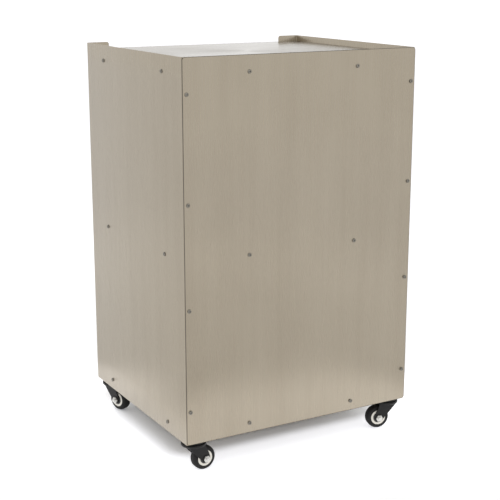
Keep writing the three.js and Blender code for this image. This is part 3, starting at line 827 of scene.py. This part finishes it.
def rolled_knuckle(length, radius, thickness, stub):
    """One rolled knuckle about Z from z 0 up, with a stub of its leaf running along +X behind it (+Y)."""
    middle = radius - thickness / 2
    centre = [Vector((stub, middle, 0)), Vector((stub / 2, middle, 0))]
    steps = 26
    for step in range(steps + 1):
        turn = math.pi / 2 + step / steps * math.radians(318)
        centre.append(Vector((middle * math.cos(turn), middle * math.sin(turn), 0)))
    last = len(centre) - 1
    sides = ([], [])
    for n, point in enumerate(centre):
        forward = (centre[min(n + 1, last)] - centre[max(n - 1, 0)]).normalized()
        across = Vector((-forward.y, forward.x, 0)) * thickness / 2
        sides[0].append(point + across)
        sides[1].append(point - across)
    outline = sides[0] + sides[1][::-1]
    return prism(outline, length)


def prism(outline, length):
    """An outline in the XY plane drawn out from z 0 up to the length."""
    bm = bmesh.new()
    bottom = [bm.verts.new((p[0], p[1], 0)) for p in outline]
    top = [bm.verts.new((p[0], p[1], length)) for p in outline]
    count = len(outline)
    for n in range(count):
        m = (n + 1) % count
        bm.faces.new((bottom[n], bottom[m], top[m], top[n]))
    bm.faces.new(bottom[::-1])
    bm.faces.new(top)
    bmesh.ops.recalc_face_normals(bm, faces=bm.faces)
    return mesh_of(bm, "prism")


def hinge_leaf(height, middle_knuckle):
    """A leaf along +X from the pin's axis at the origin, its back at KNUCKLE_RADIUS and its middle at z 0."""
    third = height / 3
    clear = KNUCKLE_RADIUS + 2 * CLEARANCE
    top = height / 2
    parts = []
    for n in range(3):
        if (n == 1) == middle_knuckle:
            knuckle = rolled_knuckle(third - CLEARANCE, KNUCKLE_RADIUS, LEAF_THICKNESS, clear + 0.5 * MM)
            knuckle.transform(Matrix.Translation((0, 0, -top + n * third + CLEARANCE / 2)))
            parts.append(softened(knuckle, 0.12 * MM, 1, angle=50))
    outline = []
    for sx, sy, quarter in ((1, 1, 0), (-1, 1, 1), (-1, -1, 2), (1, -1, 3)):
        rounding = LEAF_CORNER if sx > 0 else 0.3 * MM
        x = (LEAF_WIDTH if sx > 0 else clear) - sx * rounding
        y = sy * (top - rounding)
        for step in range(7):
            turn = (quarter + step / 6) * math.pi / 2
            outline.append((x + rounding * math.cos(turn), y + rounding * math.sin(turn)))
    flat = plate(outline, LEAF_THICKNESS, 0.2 * MM)
    flat.transform(on_front(0, KNUCKLE_RADIUS, 0))
    return joined([*parts, flat])


def hinge_pin(half, neck):
    """A pin along Z with a cap at each end, from half to -half, whose caps start at the neck."""
    cap = PIN_CAP_RADIUS
    upper = [(PIN_RADIUS, neck, 0), (cap, neck, 0), (cap, half, 0.6 * MM), (0, half, 0)]
    lower = [(r, -h, rounding) for r, h, rounding in reversed(upper)]
    return turned(rounded_profile(lower + upper), 24)


def build_hinges():
    screw = pan_head_screw(*HINGE_SCREW)
    for place in ("upper", "lower"):
        low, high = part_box(f"hinge_{place}_cabinet_leaf")
        height = high.z - low.z
        axis = Vector((high.x - KNUCKLE_RADIUS, low.y + KNUCKLE_RADIUS, (low.z + high.z) / 2))
        for leaf, body, side in (("cabinet_leaf", "cabinet", -1), ("door_leaf", "door", 1)):
            mesh = hinge_leaf(height, leaf == "door_leaf")
            if side < 0:
                mesh = mirrored(mesh)
            mesh.transform(Matrix.Translation(axis))
            node = f"hinge_{place}_{leaf}"
            piece(f"{node}_plate", mesh, BRIGHT, body, node)
            for n, (out, up) in enumerate(LEAF_SCREWS, 1):
                spot = axis + Vector((side * out * MM, KNUCKLE_RADIUS - LEAF_THICKNESS, up * MM))
                add_screw(f"{node}_screw_{n}", screw, spot, "-Y", body)
        pin_low, pin_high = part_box(f"hinge_{place}_pin")
        pin = hinge_pin((pin_high.z - pin_low.z) / 2, height / 2 + CLEARANCE)
        pin.transform(Matrix.Translation(axis))
        piece(f"hinge_{place}_pin_rod", pin, BRIGHT, "cabinet", f"hinge_{place}_pin")


# ---- magnetic catch ----
CATCH_EAR = 9 * MM
CATCH_BASE = 2.5 * MM
CATCH_POLE_SPACING = 1.7 * MM


def slab(half_width, half_height, corner, thickness, edge):
    outline = rounded_outline((-half_width, -half_height), (half_width, half_height), corner)
    return plate(outline, thickness, edge)


def build_catch():
    low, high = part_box("magnetic_catch")
    middle = (low + high) / 2
    width, depth, height = high - low
    on_shelf = on_front(middle.x, high.y, middle.z)
    half_block = width / 2 - CATCH_EAR
    base = slab(width / 2, height / 2, 3 * MM, CATCH_BASE, 0.4 * MM)
    block = slab(half_block, height / 2, 1.2 * MM, depth - 0.6 * MM, 0.5 * MM)
    slot = slab(half_block - 2 * MM, 2.6 * MM, 0.6 * MM, 4 * MM, 0.1 * MM)
    slot.transform(Matrix.Translation((0, 0, depth - 2 * MM)))
    housing = joined([base, with_boolean(block, slot, "DIFFERENCE")])
    housing.transform(on_shelf)
    piece("magnetic_catch_housing", housing, BLACK_PLASTIC, "cabinet", "magnetic_catch")
    pole = slab(half_block - 2.6 * MM, 0.6 * MM, 0.3 * MM, depth - 4 * MM, 0.15 * MM)
    lift = 3.99 * MM
    shifts = [Matrix.Translation((0, side * CATCH_POLE_SPACING, lift)) for side in (-1, 1)]
    poles = joined([moved(pole, shift) for shift in shifts])
    poles.transform(on_shelf)
    piece("magnetic_catch_poles", poles, BRIGHT, "cabinet")
    screw = pan_head_screw(*CATCH_SCREW)
    for hand, side in (("left", -1), ("right", 1)):
        spot = Vector((middle.x + side * (width / 2 - CATCH_EAR / 2), high.y - CATCH_BASE, middle.z))
        add_screw(f"magnetic_catch_screw_{hand}", screw, spot, "-Y", "cabinet")
    low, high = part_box("catch_strike_plate")
    strike = plate(rounded_outline((low.x, low.z), (high.x, high.z), 2 * MM), high.y - low.y, 0.25 * MM)
    strike.transform(on_front(0, high.y, 0))
    piece("catch_strike_plate_steel", strike, BRIGHT, "door", "catch_strike_plate")


# ---- casters: the swivel axis is the local Z and the wheel trails along the local +X ----
WHEEL_RADIUS = 25 * MM
TRAIL = 21 * MM
FORK_SHEET = 2.5 * MM
FORK_FACE = 14.75 * MM
# In millimetres: the fork's height, the height where its legs reach their full width, half of that width,
# and the radius of their rounded ends.
FORK_TOP = 58.5
FORK_SHOULDER = 57.0
FORK_HALF_WIDTH = 19.8
FORK_END = 9.0
WHEEL_AXLE = Matrix.Translation((TRAIL, 0, WHEEL_RADIUS)) @ Matrix.Rotation(-math.pi / 2, 4, "X")


def fork_edges():
    """A fork leg's side view: functions that give its front and back edge at a height, in millimetres."""
    trail = TRAIL / MM
    axle = WHEEL_RADIUS / MM
    slant = math.atan2(FORK_SHOULDER - axle, trail + FORK_HALF_WIDTH)
    front_x = trail - FORK_END * math.sin(slant)
    front_z = axle - FORK_END * math.cos(slant)
    back_x = trail + FORK_END - 1.0
    back_z = axle + 4.0

    def half_end(z):
        return math.sqrt(max(FORK_END ** 2 - (axle - z) ** 2, 0))

    def front_edge(z):
        if z < front_z:
            return trail - half_end(z)
        share = (z - front_z) / (FORK_SHOULDER - front_z)
        return front_x + (-FORK_HALF_WIDTH - front_x) * min(share, 1)

    def back_edge(z):
        if z < back_z:
            return trail + half_end(z)
        share = (z - back_z) / (FORK_SHOULDER - back_z)
        ease = share * share * (3 - 2 * share)
        return back_x + (FORK_HALF_WIDTH - back_x) * min(ease, 1)

    return front_edge, back_edge


def fork_section():
    """Points (y, z) of the bent strip's outer face in millimetres, from one leg's foot to the other's."""
    leg_face = 14.7
    bend = 4.0
    bend_start = FORK_TOP - bend
    axle = WHEEL_RADIUS / MM
    round_steps = 8
    half = []
    for step in range(round_steps + 1):
        turn = step / round_steps * math.pi / 2
        half.append((-leg_face, axle - FORK_END * math.cos(turn * 0.995 + 0.005)))
    half += [(-leg_face, axle + (bend_start - axle) * n / 9) for n in range(1, 10)]
    for step in range(1, BEND_STEPS + 1):
        turn = step / BEND_STEPS * math.pi / 2
        half.append((-leg_face + bend * (1 - math.cos(turn)), bend_start + bend * math.sin(turn)))
    half += [(-leg_face + bend + (leg_face - bend) * n / 4, FORK_TOP) for n in range(1, 5)]
    return half + [(-y, z) for y, z in half[-2::-1]]


def fork_yoke():
    """A strip bent over into two legs, straight-edged in side view and round at the axle."""
    columns = 12
    front_edge, back_edge = fork_edges()
    bm = bmesh.new()
    rows = []
    for y, z in fork_section():
        level = min(z, FORK_SHOULDER)
        front, back = front_edge(level), back_edge(level)
        places = [front + (back - front) * n / columns for n in range(columns + 1)]
        rows.append([bm.verts.new((x * MM, y * MM, z * MM)) for x in places])
    for lower, upper in zip(rows, rows[1:]):
        for n in range(columns):
            bm.faces.new((lower[n], lower[n + 1], upper[n + 1], upper[n]))
    return softened(mesh_of(bm, "yoke"), 0.45 * MM, 2, FORK_SHEET, angle=50)


def scaled(corners):
    """A rounded profile whose corners are given in millimetres."""
    return rounded_profile([(r * MM, h * MM, rounding * MM) for r, h, rounding in corners])


def caster_fork():
    """The yoke and the round crown above it, with a hole for the stem."""
    hole = turned([(5.4 * MM, 50 * MM), (5.4 * MM, 70 * MM), (0, 70 * MM), (0, 50 * MM)], 32)
    crown = turned(scaled([
        (5.4, 56.6, 0.3), (20.0, 56.6, 0.6), (21.2, 55.9, 0.4), (24.0, 55.9, 1.2), (25.5, 57.4, 0.8),
        (25.5, 60.6, 0.8), (24.2, 62.0, 0.7), (18.5, 62.0, 0.4), (17.2, 60.8, 0.5), (13.5, 60.8, 0.5),
        (12.0, 62.0, 0.5), (5.4, 62.0, 0.3),
    ]), 64)
    return joined([with_boolean(fork_yoke(), hole, "DIFFERENCE"), crown])


def bearing_collar():
    return turned(scaled([
        (5.2, 62.3, 0.2), (22.5, 62.3, 0.6), (24.0, 64.2, 1.0), (24.0, 66.6, 0.8), (23.0, 68.7, 0.6),
        (5.2, 68.7, 0.2),
    ]), 64)


def caster_stem():
    profile = [(0, 53.2 * MM)]
    profile += scaled([(6.6, 53.2, 0), (8.0, 54.4, 0.8), (8.0, 55.7, 0.3), (5.0, 55.7, 0)])
    profile += [(5.0 * MM, 69.5 * MM)]
    profile += thread(5.0 * MM, 69.8 * MM, 83.2 * MM, 1.25 * MM)
    profile += [(3.8 * MM, 84.0 * MM), (0, 84.0 * MM)]
    return turned(profile, 32)


def hexagon(across_flats):
    radius = across_flats / math.sqrt(3)
    return [(radius * math.cos(n * math.pi / 3), radius * math.sin(n * math.pi / 3)) for n in range(6)]


def nut(across_flats, height, hole, collar):
    """A hexagon nut from z 0 up, chamfered at both faces, with a round locking collar on top."""
    hex_height = height - collar
    corner = across_flats / math.sqrt(3)
    drop = (corner - across_flats / 2) * 0.6
    rim, face = corner * 1.01, across_flats / 2 * 0.97
    barrel = turned([
        (0, 0), (face, 0), (rim, drop), (rim, hex_height - drop), (face, hex_height), (0, hex_height),
    ], 48)
    block = prism(hexagon(across_flats), height)
    mesh = with_boolean(block, barrel, "INTERSECT")
    bore = turned([(0, -height), (hole, -height), (hole, 2 * height), (0, 2 * height)], 32)
    mesh = with_boolean(mesh, bore, "DIFFERENCE")
    outer = across_flats * 0.43
    foot = hex_height * 0.8
    band = [(hole, foot, 0), (outer, foot, 0), (outer, height, collar * 0.7), (hole, height, 0)]
    return joined([mesh, turned(rounded_profile(band), 40)])


def axle_bolt():
    """A round-headed bolt along Z, its head up and its middle at z 0, with a hexagon socket."""
    profile = [(0, -22 * MM), (3.4 * MM, -22 * MM)]
    profile += thread(4 * MM, -21.4 * MM, -14.8 * MM, 0.9 * MM)
    profile += [(4 * MM, -14.6 * MM), (4 * MM, FORK_FACE)]
    profile += scaled([(5.2, 14.75, 0), (5.5, 15.1, 0.2), (5.5, 20.5, 1.4), (0, 20.5, 0)])
    socket = prism(hexagon(4 * MM), 6 * MM)
    socket.transform(Matrix.Translation((0, 0, 17.6 * MM)))
    return with_boolean(turned(profile, 36), socket, "DIFFERENCE")


def both_sides(half, middle=()):
    """A closed profile in millimetres: one half, the middle and the half's mirror image."""
    return scaled([*half, *middle, *((r, -h, rounding) for r, h, rounding in reversed(half))])


def wheel_core():
    half = [
        (4.5, 11.0, 0.3), (7.5, 11.0, 0.4), (7.5, 7.0, 0.8), (11.2, 7.0, 0.8), (11.2, 10.0, 0.5),
        (16.2, 10.0, 0.3),
    ]
    return turned(both_sides(half), 64)


def hub_cover():
    """A domed dust cover that sits in the recess of the core around the hub, facing +Z."""
    return turned(scaled([
        (10.95, 8.6, 0), (10.95, 9.9, 0.5), (8.8, 11.7, 1.0), (4.7, 11.7, 0.2), (4.7, 11.15, 0),
        (7.9, 11.15, 0), (7.9, 8.6, 0),
    ]), 56)


def tyre():
    half = [
        (16.35, 9.9, 0.3), (20.8, 10.0, 1.0), (24.2, 7.6, 2.0), (24.75, 5.0, 0.5), (24.35, 4.55, 0.1),
        (24.8, 4.1, 0.1),
    ]
    return turned(both_sides(half, [(25.0, 0.0, 3.0)]), 96)


def build_casters():
    fork = caster_fork()
    collar = bearing_collar()
    stem = caster_stem()
    stem_nut = nut(17 * MM, 8 * MM, 4.6 * MM, 2 * MM)
    bolt = axle_bolt()
    end_nut = nut(13 * MM, 5 * MM, 3.5 * MM, 1.4 * MM)
    core = wheel_core()
    cover = hub_cover()
    rubber = tyre()
    floor_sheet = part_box("bottom_plate")[0].z + SHEET
    for name in CASTERS:
        centre = Vector(JOINTS[f"caster_{name}_swivel_turn"]["pos_m"])
        hub = Vector(JOINTS[f"caster_{name}_wheel_spin"]["pos_m"])
        heading = math.atan2(hub.y - centre.y, hub.x - centre.x)
        place = Matrix.Translation((centre.x, centre.y, 0)) @ Matrix.Rotation(heading, 4, "Z")
        wheel = place @ WHEEL_AXLE
        label = f"caster_{name}"
        on_swivel, on_wheel = f"{label}_swivel", f"{label}_wheel"
        leftward = Vector((-math.sin(heading), math.cos(heading), 0))
        head_on_left = (middle_of(f"{label}_axle_bolt") - hub).dot(leftward) > 0
        facing = IDENTITY if head_on_left else FLIP
        piece(f"{label}_bearing_collar", collar, ENAMEL, "cabinet", f"{label}_stem", place)
        piece(f"{label}_threaded_stem", stem, BRIGHT, "cabinet", f"{label}_stem", place)
        nut_place = place @ Matrix.Translation((0, 0, floor_sheet))
        piece(f"{label}_lock_nut", stem_nut, BRIGHT, "cabinet", f"{label}_stem_nut", nut_place)
        piece(f"{label}_pressed_fork", fork, ENAMEL, on_swivel, f"{label}_fork", place)
        piece(f"{label}_axle_pin", bolt, BRIGHT, on_swivel, f"{label}_axle_bolt", wheel @ facing)
        end_nut_place = wheel @ facing @ FLIP @ Matrix.Translation((0, 0, FORK_FACE))
        piece(f"{label}_axle_end_nut", end_nut, BRIGHT, on_swivel, f"{label}_axle_nut", end_nut_place)
        piece(f"{label}_core", core, CREAM, on_wheel, f"{label}_wheel_core", wheel)
        piece(f"{label}_hub_cover_a", cover, BLACK_PLASTIC, on_wheel, None, wheel)
        piece(f"{label}_hub_cover_b", cover, BLACK_PLASTIC, on_wheel, None, wheel @ FLIP)
        piece(f"{label}_rubber_tyre", rubber, RUBBER, on_wheel, f"{label}_tyre", wheel)


# ---- studio ----
# Strength of the floor's painted glow, painted light from no lamp, by the distance in metres from the cart,
# and the share of it that is left by the distance from a patch of painted shadow under the cart, whose far
# corner is shifted in from the cart's.
PAINTED_GLOW_BY_DISTANCE = [(0.0, 0.62), (0.13, 0.60), (0.27, 0.16), (0.60, 0.16), (2.05, 0.34), (3.45, 0.38)]
PAINTED_SHADOW_BY_DISTANCE = [(0.0, 0.0), (0.030, 0.15), (0.080, 1.0)]
PAINTED_SHADOW_SHIFT = (-0.078, -0.152)
PAINTED_GLOW_COLOUR = (1.0, 1.01, 1.06, 1)
FLOOR_HALF = 60.0
# In metres: how far out and how high a spot stands, half the width of its pool of light, and its radius.
SPOT_PLACE = (2.6, 3.2)
SPOT_POOL = 2.6
SPOT_RADIUS = 0.6
SPOT_POWER = 70
SPOT_COUNT = 4
SPOT_FIRST_TURN = 15


def strength_by_distance(nodes, distance, stops):
    reach = stops[-1][0]
    profile = nodes.add("ShaderNodeValToRGB")
    nodes.feed(profile, "Fac", nodes.span(distance, 0.0, reach, 0.0, 1.0))
    ramp = profile.color_ramp
    ramp.interpolation = "EASE"
    while len(ramp.elements) < len(stops):
        ramp.elements.new(0.5)
    for stop, (place, strength) in zip(ramp.elements, stops):
        stop.position = place / reach
        stop.color = (strength, strength, strength, 1)
    return profile.outputs["Color"]


def painted_floor_glow(nodes):
    """The floor glows with painted light, most in a band around the cart, and least in a patch of painted
    shadow under it.
    """
    low, high = CAD_BOX
    foot = (low[0], low[1], -1), (high[0], high[1], 1)
    shaded = foot[0], (high[0] + PAINTED_SHADOW_SHIFT[0], high[1] + PAINTED_SHADOW_SHIFT[1], 1)
    glow = strength_by_distance(nodes, nodes.outside_box(*foot), PAINTED_GLOW_BY_DISTANCE)
    share = strength_by_distance(nodes, nodes.outside_box(*shaded), PAINTED_SHADOW_BY_DISTANCE)
    return nodes.combine("MULTIPLY", glow, share)


def build_floor():
    nodes = Nodes("studio_floor")
    tone = nodes.noise((1, 1, 1), 2.0, 2.0)
    colour = nodes.mix_colour(tone, (0.90, 0.90, 0.90), (0.93, 0.93, 0.93))
    material = nodes.finish(colour, nodes.span(tone, 0.3, 0.7, 0.6, 0.7), nodes.bump(tone, 0.01, 0.001))
    # The floor's emission is painted light and painted shadow, not a lamp.
    nodes.shader.inputs["Emission Color"].default_value = PAINTED_GLOW_COLOUR
    nodes.feed(nodes.shader, "Emission Strength", painted_floor_glow(nodes))
    corners = [(sx * FLOOR_HALF, sy * FLOOR_HALF, 0) for sx, sy in ((-1, -1), (1, -1), (1, 1), (-1, 1))]
    mesh = mesh_from("studio_floor", corners, [(0, 1, 2, 3)])
    mesh.materials.append(material)
    floor = bpy.data.objects.new("studio_floor", mesh)
    bpy.context.scene.collection.objects.link(floor)


def build_spot(name, degrees):
    """A soft spot light above one side of the cart, aimed at its foot."""
    out, height = SPOT_PLACE
    turn = math.radians(degrees)
    place = Vector((out * math.cos(turn), out * math.sin(turn), height))
    data = bpy.data.lights.new(name, "SPOT")
    data.energy = SPOT_POWER
    data.shadow_soft_size = SPOT_RADIUS
    data.spot_size = 2 * math.atan(SPOT_POOL / place.length)
    data.spot_blend = 0.45
    light = bpy.data.objects.new(name, data)
    bpy.context.scene.collection.objects.link(light)
    light.location = place
    light.rotation_mode = "QUATERNION"
    light.rotation_quaternion = (-place).to_track_quat("-Z", "Y")


def build_sky():
    """White light from all around, weaker from overhead."""
    world = bpy.data.worlds.new("studio")
    world.use_nodes = True
    tree = world.node_tree
    background = tree.nodes["Background"]
    direction = tree.nodes.new("ShaderNodeTexCoord")
    split = tree.nodes.new("ShaderNodeSeparateXYZ")
    tree.links.new(direction.outputs["Generated"], split.inputs[0])
    ramp = tree.nodes.new("ShaderNodeMapRange")
    ramp.interpolation_type = "SMOOTHSTEP"
    tree.links.new(split.outputs["Z"], ramp.inputs["Value"])
    set_range(ramp, 0.35, 0.75, 1.15, 0.62)
    tree.links.new(ramp.outputs["Result"], background.inputs["Strength"])
    background.inputs["Color"].default_value = (1, 1, 1, 1)
    bpy.context.scene.world = world
    bpy.context.scene.view_settings.view_transform = "Standard"


build_side_panels()
build_back_panel()
build_inner_plates()
build_panel_screws()
build_door()
build_handle()
build_hinges()
build_catch()
build_casters()
build_floor()
for number in range(SPOT_COUNT):
    build_spot(f"pool_spot_{number + 1}", SPOT_FIRST_TURN + 360 / SPOT_COUNT * number)
build_sky()

bpy.context.view_layer.update()
